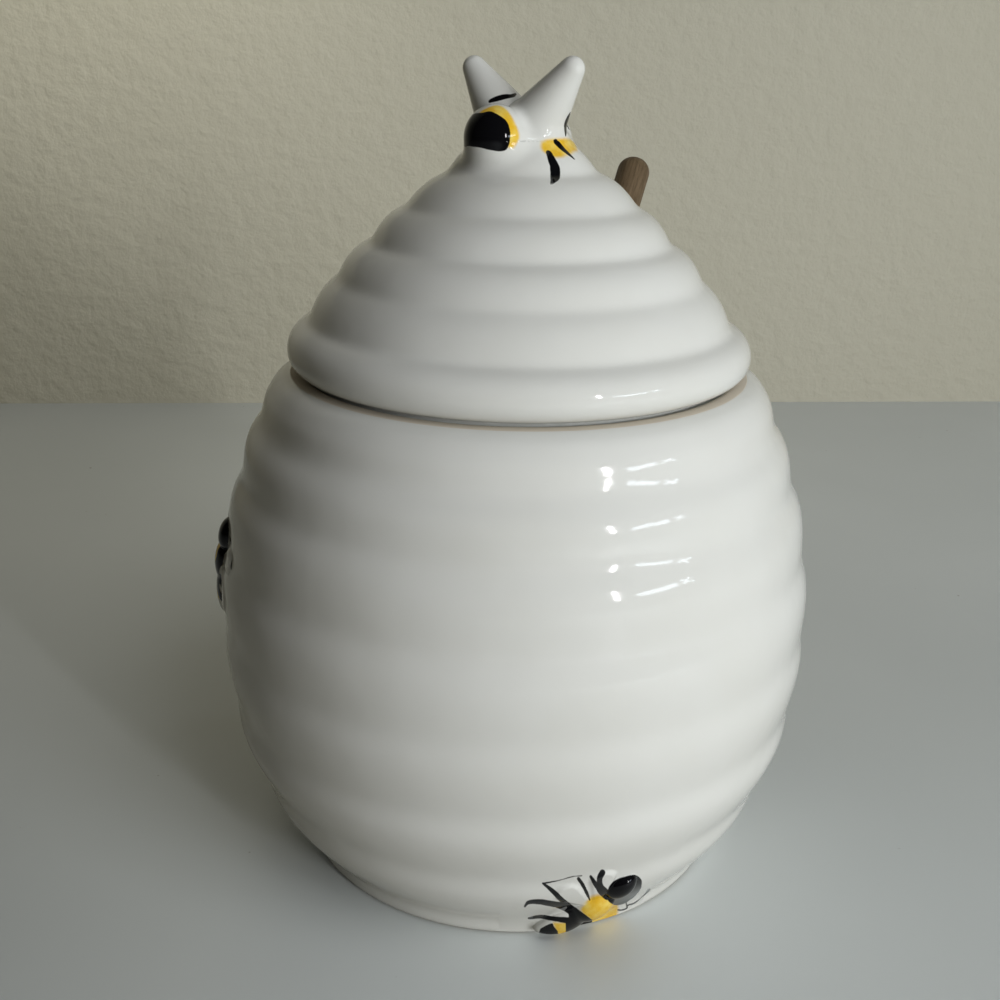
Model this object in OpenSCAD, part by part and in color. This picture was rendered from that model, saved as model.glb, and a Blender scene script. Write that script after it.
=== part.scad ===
// A beehive honey pot of glazed ceramic: coiled pot, loose coiled lid with a bee for its knob,
// and a wooden dipper whose handle leaves through a notch in the lid's rim.
// Millimetres, +Z up. The origin is the centre of the flat base. The front of the pot faces -Y.

/* [Pot] */
// Radius in the groove at the widest part
belly_r = 59.4; // [54:0.1:66]
// Height of the widest part above the table
belly_z = 49.5; // [44:0.5:56]
// Radius of the low foot band
foot_r = 45; // [42:0.5:50]
// Height of the low foot band
foot_h = 3.7; // [3:0.1:6]
// Radius of the pot's outer edge at the seam
shoulder_r = 47.3; // [46.5:0.1:50]
// Height of one full coil
coil_h = 15.2; // [14:0.1:17]
// Height of the narrow coil under the shoulder
neck_coil_h = 10.8; // [8:0.1:14]
// Height of the plain shoulder band up to the seam
shoulder_h = 10; // [8:0.5:14]
// How far a coil swells past the line between its grooves
coil_bulge = 1.35; // [0.5:0.05:2.5]
// Thickness of the pot's wall, measured in a groove
pot_wall = 4.5; // [3:0.1:6]
// Thickness of the pot's floor
floor_t = 5.5; // [4:0.1:8]
// Radius of the mouth
mouth_r = 41.3; // [40:0.1:42]
// Depth of the straight collar inside the mouth
collar_h = 8; // [5:0.5:12]

/* [Lid] */
// Radius of the lid's lower edge
lid_r = 43.8; // [43:0.1:45.5]
// Height from the seam to the groove under the knob
lid_h = 36.9; // [33:0.1:44]
// Radius of the groove under the knob
crown_r = 14; // [11:0.1:15]
// How far the rim coil swells
rim_bulge = 2.7; // [1:0.1:3.2]
// How far the other lid coils swell
lid_bulge = 1.35; // [0.5:0.05:2]
// Thickness of the lid's wall, measured in a groove
lid_wall = 4.2; // [3:0.1:5]
// Depth of the flange that centres the lid in the mouth
flange_h = 6; // [4:0.5:8]
// Thickness of that flange
flange_t = 3.5; // [2.5:0.1:4.5]
// Running gap between the flange and the mouth
flange_gap = 0.8; // [0.4:0.1:1.5]

/* [Dipper] */
// Diameter of the dipper's handle
handle_d = 7.5; // [6:0.1:9]
// Length of the whole dipper
dipper_l = 168; // [155:1:185]
// Diameter of the dipper's grooved head
head_d = 22; // [18:0.5:24]
// Length of the grooved head
head_l = 30; // [26:1:34]
// Number of grooves cut in the head
head_grooves = 5; // [3:1:7]
// Depth of those grooves
head_groove_d = 4; // [2:0.1:5]
// Radius of the rounded end of the head
head_tip_r = 8; // [6:0.5:9]
// Diameter of the handle's spigot in the head
spigot_d = 5; // [4:0.1:5.6]
// Depth of the spigot in the head
spigot_l = 12; // [8:1:18]
// Direction in which the handle leans out, counted from +X towards +Y
dipper_azimuth = 65; // [40:1:90]
// Room round the handle in the lid's notch
notch_gap = 3.7; // [2:0.1:4]

/* [Knob bee] */
// Direction in which the knob bee looks, counted from +X towards +Y
knob_azimuth = 232; // [200:1:260]
// Radius of the bee's head
knob_head_r = 5.8; // [4.5:0.1:7]
// Radius of the bee's abdomen
knob_body_r = 6.3; // [5:0.1:7.5]
// Length of the bee from face to tail
knob_l = 25; // [22:0.5:28]
// How far the middle of its head lies in front of the lid's axis
knob_reach = 8; // [6.5:0.1:9]
// Distance between the two wing tips
wing_span = 23; // [16:0.5:25]
// Height of the wing tips above the bee's middle
wing_rise = 14.3; // [9:0.1:16]
// Radius of a wing at its rounded tip
wing_tip_r = 2.25; // [1.5:0.05:3]
// Radius of a wing at its root
wing_root_r = 5; // [4:0.1:5.8]

/* [Pot bees] */
// Length of a low bee on the pot
sprig_l = 22; // [18:0.5:24]
// Radius of a low bee's abdomen
sprig_r = 3.4; // [2.6:0.1:4]
// How far a low bee stands out of the pot
sprig_relief = 2.3; // [1.5:0.1:2.6]
// How far its flat wings stand out of the pot
sprig_wing_relief = 0.9; // [0.5:0.1:1.2]
// Length of one of its wings
sprig_wing_l = 12; // [9:0.5:14]
// Direction of the front bee round the pot, counted from +X towards +Y
front_bee_azimuth = 286.5; // [270:0.5:310]
// Height of the front bee's middle
front_bee_z = 8.6; // [8:0.1:14]
// Direction of the left bee round the pot, counted from +X towards +Y
left_bee_azimuth = 190; // [180:0.5:215]
// Height of the left bee's middle
left_bee_z = 61; // [55:0.5:72]

/* [Hidden] */

$fn = 144;
glaze_white = [0.9, 0.89, 0.87];
glaze_yellow = [0.87, 0.69, 0.16];
wood_brown = [0.36, 0.29, 0.22];

// Gap between pieces of different bodies that rest on each other with curved faces
rest_gap = 0.3;
// Full coils below the narrow neck coil
full_coils = 5;
// Points along one coil's bulge
coil_steps = 7;
// How full the belly stays below and above its widest part
belly_curve_low = 2.35;
belly_curve_high = 1.65;
// How full the lid stays on its way up to the knob
lid_curve = 1.65;
// Share of the lid's height at which each groove lies, from the seam up
lid_shares = [0, 0.257, 0.472, 0.653, 0.832, 1];
// Side of a block that is larger than the whole pot
big = 4 * belly_r;
// Last share of the lid's height that the hollow follows
lid_hollow_share = 0.97;
// Points along the smooth inside walls
wall_steps = 12;

// Height of the pot's groove number i, from the foot up; the last one is the seam
function pot_level(i) = foot_h + coil_h * min(i, full_coils)
    + (i > full_coils ? neck_coil_h : 0) + (i > full_coils + 1 ? shoulder_h : 0);
seam_z = pot_level(full_coils + 2);

// Radius of the pot in its grooves at height z
function pot_r(z) = z < belly_z
    ? belly_r - (belly_r - foot_r) * pow((belly_z - z) / (belly_z - foot_h), belly_curve_low)
    : belly_r - (belly_r - shoulder_r) * pow((z - belly_z) / (seam_z - belly_z), belly_curve_high);

// How fast that radius grows with height, below the widest part
function pot_slope(z) = (belly_r - foot_r) * belly_curve_low / (belly_z - foot_h)
    * pow((belly_z - z) / (belly_z - foot_h), belly_curve_low - 1);

// Radius of the lid in its grooves, and its slope, at share u of its height
function lid_groove_r(u) = lid_r - (lid_r - crown_r) * pow(u, lid_curve);
function lid_slope(u) = -(lid_r - crown_r) * lid_curve * pow(u, lid_curve - 1) / lid_h;

// Points of one coil from groove p to groove q, both [r, z], swelling outwards by bulge
function coil_points(p, q, bulge) =
    let (d = q - p, n = [d.y, -d.x] / norm(d))
    [for (i = [1 : coil_steps]) p + d * i / coil_steps
        + n * bulge * pow(sin(180 * i / coil_steps), 0.8)];

// Outline points of the pot's outside, from the foot up
pot_outside = [for (i = [0 : full_coils + 1])
    each coil_points([pot_r(pot_level(i)), pot_level(i)],
                     [pot_r(pot_level(i + 1)), pot_level(i + 1)],
                     i > full_coils ? coil_bulge / 4 : coil_bulge)];

// Outline points of the lid's outside, from the seam up
lid_last = len(lid_shares) - 1;
lid_outside = [for (i = [0 : lid_last - 1])
    each coil_points([lid_groove_r(lid_shares[i]), seam_z + lid_h * lid_shares[i]],
                     [lid_groove_r(lid_shares[i + 1]), seam_z + lid_h * lid_shares[i + 1]],
                     i == 0 ? rim_bulge : lid_bulge)];

// Mound on the crown that carries the bee
mound_h = 4.6;
mound_top_r = 9;

// Flange under the lid
flange_r = mouth_r - flange_gap;
hollow_r = flange_r - flange_t;

// The hollow keeps the wall's thickness square to the outside
function lid_inside(u) =
    let (m = lid_slope(u), n = norm([1, m]))
    [lid_groove_r(u) - lid_wall / n, seam_z + lid_h * u + lid_wall * m / n];

// The dipper's end lies in the corner of floor and wall, and its handle on the mouth's edge
tip_z = floor_t + rest_gap + head_tip_r;
corner_tilt = atan(pot_slope(tip_z - head_tip_r / 2));
corner_z = tip_z - (head_tip_r + rest_gap) * sin(corner_tilt);
tip_rho = pot_wall + (head_tip_r + rest_gap) * cos(corner_tilt) - pot_r(corner_z);
to_mouth = [mouth_r - tip_rho, seam_z - tip_z];
dipper_lean = atan2(to_mouth.x, to_mouth.y)
    - asin((handle_d / 2 + rest_gap) / norm(to_mouth));
handle_r = handle_d / 2;
head_r = head_d / 2;

// Slot of the notch along the dipper's axis, measured from the seam
seam_s = (seam_z - tip_z) / cos(dipper_lean);
notch_reach = 45;
notch_drop = 30;

// The knob bee's middle
knob_z = seam_z + lid_h + knob_body_r;
wing_ahead = 0.7;
wing_root_side = 3.2;
wing_root_up = 2.6;

module pot_outer_solid() {
    rotate_extrude()
        polygon(concat([[0, 0], [foot_r - 0.2, 0], [foot_r, foot_h]], pot_outside, [[0, seam_z]]));
}

// The room inside the pot, open at the top
module pot_room() {
    under_collar = seam_z - collar_h;
    lowest = floor_t;
    spread = under_collar - 3;
    wall_points = [for (i = [0 : wall_steps])
        let (z = lowest + (spread - lowest) * i / wall_steps) [pot_r(z) - pot_wall, z]];
    rotate_extrude()
        polygon(concat([[0, lowest]], wall_points,
                       [[mouth_r, under_collar], [mouth_r, seam_z + 1], [0, seam_z + 1]]));
}

module lid_outer_solid() {
    crown_z = seam_z + lid_h;
    rotate_extrude()
        polygon(concat([[0, seam_z - flange_h], [flange_r, seam_z - flange_h], [flange_r, seam_z],
                        [lid_r, seam_z]],
                       lid_outside,
                       [[(crown_r + mound_top_r) / 2, crown_z + mound_h * 0.7],
                        [mound_top_r, crown_z + mound_h], [0, crown_z + mound_h]]));
}

module lid_room() {
    roof = [for (i = [0 : wall_steps])
        let (p = lid_inside(lid_hollow_share * i / wall_steps)) if (p.x < hollow_r) p];
    rotate_extrude()
        polygon(concat([[0, seam_z - flange_h - 1], [hollow_r, seam_z - flange_h - 1],
                        [hollow_r, roof[0].y - 1]],
                       roof, [[0, roof[len(roof) - 1].y]]));
}

// Moves a shape drawn along +Z onto the dipper's axis, with its zero at the centre of the tip
module on_dipper_axis() {
    rotate([0, 0, dipper_azimuth])
        translate([tip_rho, 0, tip_z])
            rotate([0, dipper_lean, 0])
                children();
}

// Room for the handle, open outwards and downwards so that the lid lifts straight up
module notch() {
    notch_r = handle_r + notch_gap;
    on_dipper_axis()
        translate([0, 0, seam_s - notch_reach / 2])
            linear_extrude(height = 1.5 * notch_reach)
                union() {
                    circle(r = notch_r);
                    translate([0, -notch_r])
                        square([notch_drop, 2 * notch_r]);
                }
}

// Half outline of an egg along +Y: middle at c, half length l, radius r
module egg_outline(c, l, r) {
    polygon([for (a = [-90 : 10 : 90]) [r * cos(a), c + l * sin(a)]]);
}

// A round-ended cone from a ball of radius r0 at p0 to a ball of radius r1 at p1
module tapered_limb(p0, r0, p1, r1) {
    d = p1 - p0;
    l = norm(d);
    tilt = asin((r0 - r1) / l);
    translate(p0)
        rotate([0, acos(d.z / l), atan2(d.y, d.x)])
            rotate_extrude()
                polygon(concat([[0, -r0]],
                               [for (i = [1 : 6])
                                   let (a = -90 + (90 + tilt) * i / 6) r0 * [cos(a), sin(a)]],
                               [for (i = [0 : 5])
                                   let (a = tilt + (90 - tilt) * i / 6) [0, l] + r1 * [cos(a), sin(a)]],
                               [[0, l + r1]]));
}

// The knob bee lies along local +X, its left side is local +Y
module on_knob() {
    translate([0, 0, knob_z])
        rotate([0, 0, knob_azimuth])
            children();
}

module knob_bee_form() {
    abdomen_l = knob_l * 0.34;
    tail = knob_reach + knob_head_r - knob_l;
    rotate([0, 90, 0])
        rotate_extrude()
            union() {
                egg_outline(knob_reach, knob_head_r, knob_head_r);
                egg_outline(knob_reach / 3, knob_l * 0.3, knob_head_r * 0.95);
                egg_outline(tail + abdomen_l, abdomen_l, knob_body_r);
            }
}

module knob_wing(side) {
    root = [wing_ahead, side * wing_root_side, wing_root_up];
    tip = [wing_ahead, side * wing_span / 2, wing_rise - wing_tip_r];
    tapered_limb(root, wing_root_r, tip, wing_tip_r);
}

module finial_bee_wing(side) {
    color(glaze_white)
        difference() {
            on_knob() knob_wing(side);
            on_knob() knob_bee_form();
            on_knob() translate([0, -side * big / 2, 0]) cube(big, center = true);
            lid_outer_solid();
        }
}

// A low bee on the pot: local +X towards its head, local +Z straight out of the pot
module on_pot(azimuth, z, heading) {
    slope_step = 6;
    lean = atan2(pot_r(z - slope_step) - pot_r(z + slope_step), 2 * slope_step);
    rotate([0, 0, azimuth])
        translate([pot_r(z) + coil_bulge, 0, z])
            rotate([0, 90 - lean, 0])
                rotate([0, 0, 90 + heading])
                    children();
}

module sprig_body_form() {
    translate([0, 0, sprig_relief - sprig_r])
        rotate([0, 90, 0])
            rotate_extrude()
                union() {
                    egg_outline(sprig_l * 0.32, sprig_l * 0.18, sprig_r * 0.9);
                    egg_outline(sprig_l * 0.08, sprig_l * 0.22, sprig_r * 0.95);
                    egg_outline(-sprig_l * 0.2, sprig_l * 0.3, sprig_r);
                }
}

// Outline of a flat wing along +X: a narrow root at the origin and a round tip
module petal_outline() {
    tip_r = sprig_wing_l * 0.22;
    root_r = sprig_wing_l * 0.07;
    reach = sprig_wing_l - tip_r;
    tilt = asin((tip_r - root_r) / reach);
    edge = [-sin(tilt), cos(tilt)];
    far = [reach, 0];
    union() {
        translate(far) circle(r = tip_r);
        polygon([root_r * edge, far + tip_r * edge,
                 far + tip_r * [edge.x, -edge.y], root_r * [edge.x, -edge.y]]);
    }
}

// One flat wing that leaves the thorax at the given angle from the bee's own direction
module sprig_wing_form(angle) {
    intersection() {
        translate([sprig_l * 0.08, 0, -sprig_r])
            rotate([0, 0, angle])
                linear_extrude(height = 2 * sprig_r)
                    petal_outline();
        translate([0, 0, sprig_wing_relief - belly_r]) sphere(r = belly_r);
    }
}

module sprig_body(azimuth, z, heading) {
    color(glaze_yellow)
        difference() {
            on_pot(azimuth, z, heading) sprig_body_form();
            pot_outer_solid();
            translate([0, 0, -big / 2]) cube(big, center = true);
        }
}

module sprig_wings(azimuth, z, heading, angles) {
    color(glaze_white)
        difference() {
            on_pot(azimuth, z, heading)
                union() {
                    for (angle = angles) sprig_wing_form(angle);
                }
            on_pot(azimuth, z, heading) sprig_body_form();
            pot_outer_solid();
        }
}

// Headings turn from level, to the right seen from outside, up towards the lid
front_heading = 46;
front_wing_angles = [40, 95];
left_heading = 75;
left_wing_angles = [56, 112, -56, -112];

module pot_body() {
    color(glaze_white)
        difference() {
            pot_outer_solid();
            pot_room();
        }
}

module front_bee_body() {
    sprig_body(front_bee_azimuth, front_bee_z, front_heading);
}

module front_bee_wings() {
    sprig_wings(front_bee_azimuth, front_bee_z, front_heading, front_wing_angles);
}

module left_bee_body() {
    sprig_body(left_bee_azimuth, left_bee_z, left_heading);
}

module left_bee_wings() {
    sprig_wings(left_bee_azimuth, left_bee_z, left_heading, left_wing_angles);
}

module lid_dome() {
    color(glaze_white)
        difference() {
            lid_outer_solid();
            lid_room();
            notch();
        }
}

module finial_bee_body() {
    color(glaze_yellow)
        difference() {
            on_knob() knob_bee_form();
            lid_outer_solid();
        }
}

module finial_bee_wing_left() {
    finial_bee_wing(1);
}

module finial_bee_wing_right() {
    finial_bee_wing(-1);
}

// Head of the dipper: a rounded tip, then rings between grooves, with a bore for the spigot
module dipper_head() {
    head_top = head_l - head_tip_r;
    head_edge = head_r * 0.12;
    ring_h = (head_l - head_tip_r * 0.6) / (2 * head_grooves + 1);
    first_groove = head_top - (2 * head_grooves) * ring_h;
    color(wood_brown)
        on_dipper_axis()
            difference() {
                rotate_extrude()
                    polygon(concat([[0, -head_tip_r]],
                                   [for (a = [-75 : 15 : -30]) head_tip_r * [cos(a), sin(a)]],
                                   [[head_r - head_edge, first_groove],
                                    [head_r, first_groove + head_edge],
                                    [head_r, head_top - head_edge], [head_r - head_edge, head_top],
                                    [0, head_top]]));
                for (i = [0 : head_grooves - 1])
                    translate([0, 0, first_groove + (2 * i + 0.5) * ring_h])
                        difference() {
                            cylinder(r = head_r + 1, h = ring_h);
                            cylinder(r = head_r - head_groove_d, h = ring_h);
                        }
                translate([0, 0, head_top - spigot_l])
                    cylinder(d = spigot_d, h = spigot_l + 1);
            }
}

// Handle of the dipper: the spigot in the head, a straight rod and a rounded end
module dipper_handle() {
    head_top = head_l - head_tip_r;
    end_z = dipper_l - head_tip_r;
    color(wood_brown)
        on_dipper_axis()
            rotate_extrude()
                polygon(concat([[0, head_top - spigot_l], [spigot_d / 2, head_top - spigot_l],
                                [spigot_d / 2, head_top], [handle_r, head_top]],
                               [for (a = [0 : 15 : 75])
                                   [0, end_z - handle_r] + handle_r * [cos(a), sin(a)]],
                               [[0, end_z]]));
}

pot_body();
front_bee_body();
front_bee_wings();
left_bee_body();
left_bee_wings();
lid_dome();
finial_bee_body();
finial_bee_wing_left();
finial_bee_wing_right();
dipper_head();
dipper_handle();
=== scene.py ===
import math

import bpy
import numpy as np
from mathutils import Matrix


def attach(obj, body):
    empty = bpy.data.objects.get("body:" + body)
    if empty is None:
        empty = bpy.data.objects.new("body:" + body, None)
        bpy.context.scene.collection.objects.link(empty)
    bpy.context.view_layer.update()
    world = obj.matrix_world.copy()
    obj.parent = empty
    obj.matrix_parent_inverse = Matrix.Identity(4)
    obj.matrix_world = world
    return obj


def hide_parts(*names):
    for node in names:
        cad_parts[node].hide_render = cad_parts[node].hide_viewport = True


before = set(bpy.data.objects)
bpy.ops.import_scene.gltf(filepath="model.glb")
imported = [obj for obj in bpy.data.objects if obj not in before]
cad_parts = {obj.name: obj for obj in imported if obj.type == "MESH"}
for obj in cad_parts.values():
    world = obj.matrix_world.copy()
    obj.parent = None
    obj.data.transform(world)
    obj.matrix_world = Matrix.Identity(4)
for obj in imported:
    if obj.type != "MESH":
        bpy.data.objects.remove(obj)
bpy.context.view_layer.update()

# Everything below is in millimetres until a mesh, lamp or camera is made.
MM = 0.001

# ---------------------------------------------------------------- outlines

SEAM_Z = 100.5

# Grooves of the pot as (radius, height), from the seam down to the table, and how far each coil
# swells between two of them
POT_GROOVES = [(47.3, 100.45), (50.4, 90.5), (54.3, 79.6), (57.8, 64.7), (59.2, 49.2),
               (57.9, 33.6), (53.7, 18.9), (45.0, 3.7), (44.8, 0.0)]
POT_SWELLS = [0.8, 1.8, 1.75, 1.4, 1.25, 1.7, 1.8, 0.25]
POT_BLUR = 1.7
POT_LEAN = 0.65
# Grooves of the lid, from the crown down to the seam
LID_GROOVES = [(14.0, 137.4), (21.9, 131.2), (28.4, 124.6), (34.8, 117.9), (40.5, 109.8),
               (43.8, 100.5)]
LID_SWELLS = [1.0, 1.15, 1.25, 1.0, 2.7]
LID_BLUR = 0.95
LID_LEAN = 0.89
# Outline of the mound under the knob bee, above the lid's first groove
MOUND = [(8.5, 143.4), (10.9, 141.2)]
MOUND_SWELLS = [0.0, 0.2]
FULLNESS = 0.85
LINE_STEP = 0.25

WALL = 4.5
FLOOR_Z = 5.5
MOUTH_R = 41.3
COLLAR_H = 8.0


def resample(points, step):
    """The points of a polyline at even distances."""
    points = np.asarray(points, float)
    s = np.concatenate([[0.0], np.cumsum(np.hypot(*np.diff(points, axis=0).T))])
    at = np.linspace(0.0, s[-1], max(2, int(round(s[-1] / step))) + 1)
    return np.stack([np.interp(at, s, points[:, i]) for i in range(points.shape[1])], 1)


def soften(points, blur, step):
    """Rounds the corners of an evenly spaced line. Its ends stay where they are."""
    reach = int(4 * blur / step)
    kernel = np.exp(-0.5 * (np.arange(-reach, reach + 1) * step / blur) ** 2)
    kernel /= kernel.sum()
    head = 2 * points[0] - points[reach:0:-1]
    tail = 2 * points[-1] - points[-2:-reach - 2:-1]
    padded = np.concatenate([head, points, tail])
    return np.stack([np.convolve(padded[:, i], kernel, "valid") for i in range(2)], 1)


def coil_line(grooves, swells, lean, blur):
    """Outline through the grooves. A coil swells more towards its upper groove if lean < 1."""
    line = []
    t = np.linspace(0, 1, 81)[:-1, None]
    for a, b, swell in zip(np.array(grooves[:-1]), np.array(grooves[1:]), swells):
        d = b - a
        out = np.array([-d[1], d[0]]) / np.hypot(*d)
        line.append(a + d * t + out * swell * np.sin(np.pi * t ** lean) ** FULLNESS)
    line.append(np.array(grooves[-1:], float))
    return soften(resample(np.concatenate(line), LINE_STEP), blur, LINE_STEP)


def arc(cx, cz, radius, start, end, steps=8):
    """Points of a circle's arc, angles in degrees."""
    a = np.radians(np.linspace(start, end, steps + 1))
    return [(cx + radius * math.cos(v), cz + radius * math.sin(v)) for v in a]


def as_table(line):
    """(height, radius) of an outline, sorted upwards, for np.interp."""
    order = np.argsort(line[:, 1])
    return line[order, 1], line[order, 0]


POT_LINE = coil_line(POT_GROOVES, POT_SWELLS, POT_LEAN, POT_BLUR)
POT_TABLE = as_table(POT_LINE)
PLAIN_BLUR = 7.0
# The pot without its coils
PLAIN_TABLE = as_table(soften(POT_LINE, PLAIN_BLUR, LINE_STEP))
LID_LINE = coil_line(MOUND + LID_GROOVES, MOUND_SWELLS + LID_SWELLS, LID_LEAN, LID_BLUR)
LID_TABLE = as_table(LID_LINE)


def smooth_step(t):
    t = np.clip(t, 0.0, 1.0)
    return t * t * (3 - 2 * t)


# The coils were thrown by hand: they rise and fall a little on their way round
def pot_sway(z, theta):
    fade = smooth_step(z / 14) * smooth_step((SEAM_Z - z) / 14)
    return fade * (0.3 * np.sin(theta + 0.045 * z + 1.0) + 0.14 * np.sin(2 * theta - 0.07 * z))


def lid_sway(z, theta):
    fade = smooth_step((z - SEAM_Z) / 10) * smooth_step((141.5 - z) / 6)
    return fade * (0.25 * np.sin(theta + 0.1 * z) + 0.12 * np.sin(2 * theta + 0.13 * z))


def pot_surface(theta, z):
    """Points of the pot's outside."""
    r = np.interp(z, *POT_TABLE)
    return np.stack([r * np.cos(theta), r * np.sin(theta), z + pot_sway(z, theta)], -1)


# ---------------------------------------------------------------- solids as distance fields

def smooth_min(a, b, k):
    h = np.maximum(k - np.abs(a - b), 0.0) / k
    return np.minimum(a, b) - h * h * k * 0.25


def smooth_max(a, b, k):
    return -smooth_min(-a, -b, k)


def unit(v):
    return np.asarray(v, float) / np.linalg.norm(v)


def ellipsoid(p, centre, radii):
    q = (p - np.asarray(centre, float)) / np.asarray(radii, float)
    k0 = np.linalg.norm(q, axis=-1)
    k1 = np.linalg.norm(q / np.asarray(radii, float), axis=-1)
    return k0 * (k0 - 1.0) / np.maximum(k1, 1e-6)


def limb(p, a, ra, b, rb):
    """A round-ended cone from a ball at a to a ball at b."""
    a, b = np.asarray(a, float), np.asarray(b, float)
    d = b - a
    t = np.clip(((p - a) @ d) / (d @ d), 0.0, 1.0)
    # tilt the nearest point along the cone, so that its side is straight
    away = np.linalg.norm(p - a - t[..., None] * d, axis=-1)
    t = np.clip(t - away * (ra - rb) / (d @ d), 0.0, 1.0)
    return np.linalg.norm(p - a - t[..., None] * d, axis=-1) - (ra + (rb - ra) * t)


def lathe_field(rho, z, table):
    """First-order distance to the outside of an outline given as (height, radius)."""
    step = 0.05
    r = np.interp(z, *table)
    slope = (np.interp(z + step, *table) - np.interp(z - step, *table)) / (2 * step)
    return (rho - r) / np.sqrt(1.0 + slope * slope)


# ---------------------------------------------------------------- dipper axis

HANDLE_R = 3.75
TIP_R = 8.0
DIPPER_L = 168.0
HEAD_R = 11.0
HEAD_L = 30.0
DIPPER_AZIMUTH = math.radians(65.0)
TIP_RHO = -37.325
TIP_Z = 13.8
DIPPER_LEAN = math.radians(40.221)
NOTCH_R = 7.45
# How far the slot reaches along the handle below and above the seam
NOTCH_LOW = 22.5
NOTCH_HIGH = 45.0

outward = np.array([math.cos(DIPPER_AZIMUTH), math.sin(DIPPER_AZIMUTH), 0.0])
sideways = np.array([-outward[1], outward[0], 0.0])
dipper_origin = outward * TIP_RHO + [0.0, 0.0, TIP_Z]
dipper_axis = outward * math.sin(DIPPER_LEAN) + [0.0, 0.0, math.cos(DIPPER_LEAN)]
dipper_out = outward * math.cos(DIPPER_LEAN) - [0.0, 0.0, math.sin(DIPPER_LEAN)]
SEAM_S = (SEAM_Z - TIP_Z) / math.cos(DIPPER_LEAN)


def notch_field(p):
    """The slot round the handle, open outwards and downwards."""
    q = p - dipper_origin
    x, y, s = q @ dipper_out, q @ sideways, q @ dipper_axis
    slot = np.where(x > 0, np.abs(y), np.hypot(x, y)) - NOTCH_R
    return np.maximum(slot, SEAM_S - NOTCH_LOW - s)


# ---------------------------------------------------------------- the lid as a field

FLANGE_R = 40.5
HOLLOW_R = 37.0
FLANGE_Z = SEAM_Z - 6.0
LID_H = 36.9
LID_WALL = 4.2
LID_R = 43.8
LID_TAPER = 29.8
LID_CURVE = 1.65
LID_EDGE_Z = SEAM_Z + 0.1
# Top of the lid under the knob bee
CROWN_Z = 140.6


def lid_roof():
    """Outline of the lid's hollow, as (height, radius)."""
    u = np.linspace(0, 0.97, 40)
    r = LID_R - LID_TAPER * u ** LID_CURVE
    slope = -LID_TAPER * LID_CURVE * u ** (LID_CURVE - 1) / LID_H
    n = np.sqrt(1 + slope * slope)
    roof_r, roof_z = r - LID_WALL / n, SEAM_Z + LID_H * u + LID_WALL * slope / n
    inner = roof_r < HOLLOW_R
    return (np.concatenate([[0.0, roof_z[inner][0] - 1.0], roof_z[inner]]),
            np.concatenate([[HOLLOW_R, HOLLOW_R], roof_r[inner]]))


ROOF = lid_roof()
ROOF_TOP = ROOF[0][-1]


def lid_field(p):
    rho, z = np.hypot(p[:, 0], p[:, 1]), p[:, 2]
    theta = np.arctan2(p[:, 1], p[:, 0])
    outside = lathe_field(rho, z - lid_sway(z, theta), LID_TABLE)
    outside = np.maximum(outside, z - CROWN_Z)
    dome = smooth_max(outside, LID_EDGE_Z - z, 4.0)
    flange = smooth_max(smooth_max(rho - FLANGE_R, FLANGE_Z - z, 1.6), z - SEAM_Z - 4.0, 0.5)
    solid = smooth_min(dome, flange, 0.8)
    hollow = smooth_max(lathe_field(rho, z, ROOF), z - ROOF_TOP, 3.0)
    solid = smooth_max(solid, -hollow, 1.6)
    return smooth_max(solid, -notch_field(p), 2.2)


# ---------------------------------------------------------------- the knob bee as a field

KNOB_AZIMUTH = math.radians(232.0)
KNOB_Z = 143.7
HEAD_BALL = (8.0, 0.0, 0.0)
HEAD_BALL_R = 5.8
# Ellipsoids as (centre, radii)
THORAX = ((2.6, 0, -0.2), (6.5, 5.3, 5.3))
ABDOMEN = ((-2.7, 0, -0.1), (8.5, 6.2, 6.2))
SKIRT_R = 17.2
SKIRT_SINK_R = 15.8
SKIRT_LOW_Z = 131.5

knob_ahead = np.array([math.cos(KNOB_AZIMUTH), math.sin(KNOB_AZIMUTH), 0.0])
knob_left = np.array([-knob_ahead[1], knob_ahead[0], 0.0])


def knob_local(p):
    """The bee's own coordinates: forwards, to its left, upwards."""
    q = p - np.array([0.0, 0.0, KNOB_Z])
    return np.stack([q @ knob_ahead, q @ knob_left, q[:, 2]], 1)


def knob_world(q):
    q = np.asarray(q, float)
    return (q[:, :1] * knob_ahead + q[:, 1:2] * knob_left
            + np.stack([0 * q[:, 0], 0 * q[:, 0], q[:, 2] + KNOB_Z], 1))


def wing_cone(side):
    """A wing's root and tip, each with its radius, on the left for side 1."""
    return (0.7, side * 3.6, 2.5), 5.3, (0.7, side * 11.4, 12.1), 2.1


def knob_field(p, sunk=True):
    """The knob bee and the mound that it stands on."""
    q = knob_local(p)
    rho, z = np.hypot(p[:, 0], p[:, 1]), p[:, 2]
    theta = np.arctan2(p[:, 1], p[:, 0])
    head = ellipsoid(q, HEAD_BALL, (HEAD_BALL_R,) * 3)
    body = smooth_min(smooth_min(head, ellipsoid(q, *THORAX), 1.2), ellipsoid(q, *ABDOMEN), 2.0)
    wings = np.minimum(*[limb(q, *wing_cone(side)) for side in (1, -1)])
    bee = smooth_min(body, wings, 1.6)
    crown = lathe_field(rho, z - lid_sway(z, theta), LID_TABLE)
    crown = smooth_max(crown, z - 143.6, 1.0)
    whole = smooth_min(bee, crown, 3.0)
    if not sunk:
        return whole
    # beyond the groove the skirt dips under the lid's surface
    whole = whole + 0.25 * smooth_step((rho - SKIRT_SINK_R + 1.0) / 1.6) - 0.02
    return np.maximum(np.maximum(whole, rho - SKIRT_R), SKIRT_LOW_Z - z)


def gradient(field, p):
    step = 0.03
    g = np.zeros_like(p)
    for i in range(3):
        d = np.zeros(3)
        d[i] = step
        g[:, i] = (field(p + d) - field(p - d)) / (2 * step)
    return g


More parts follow.
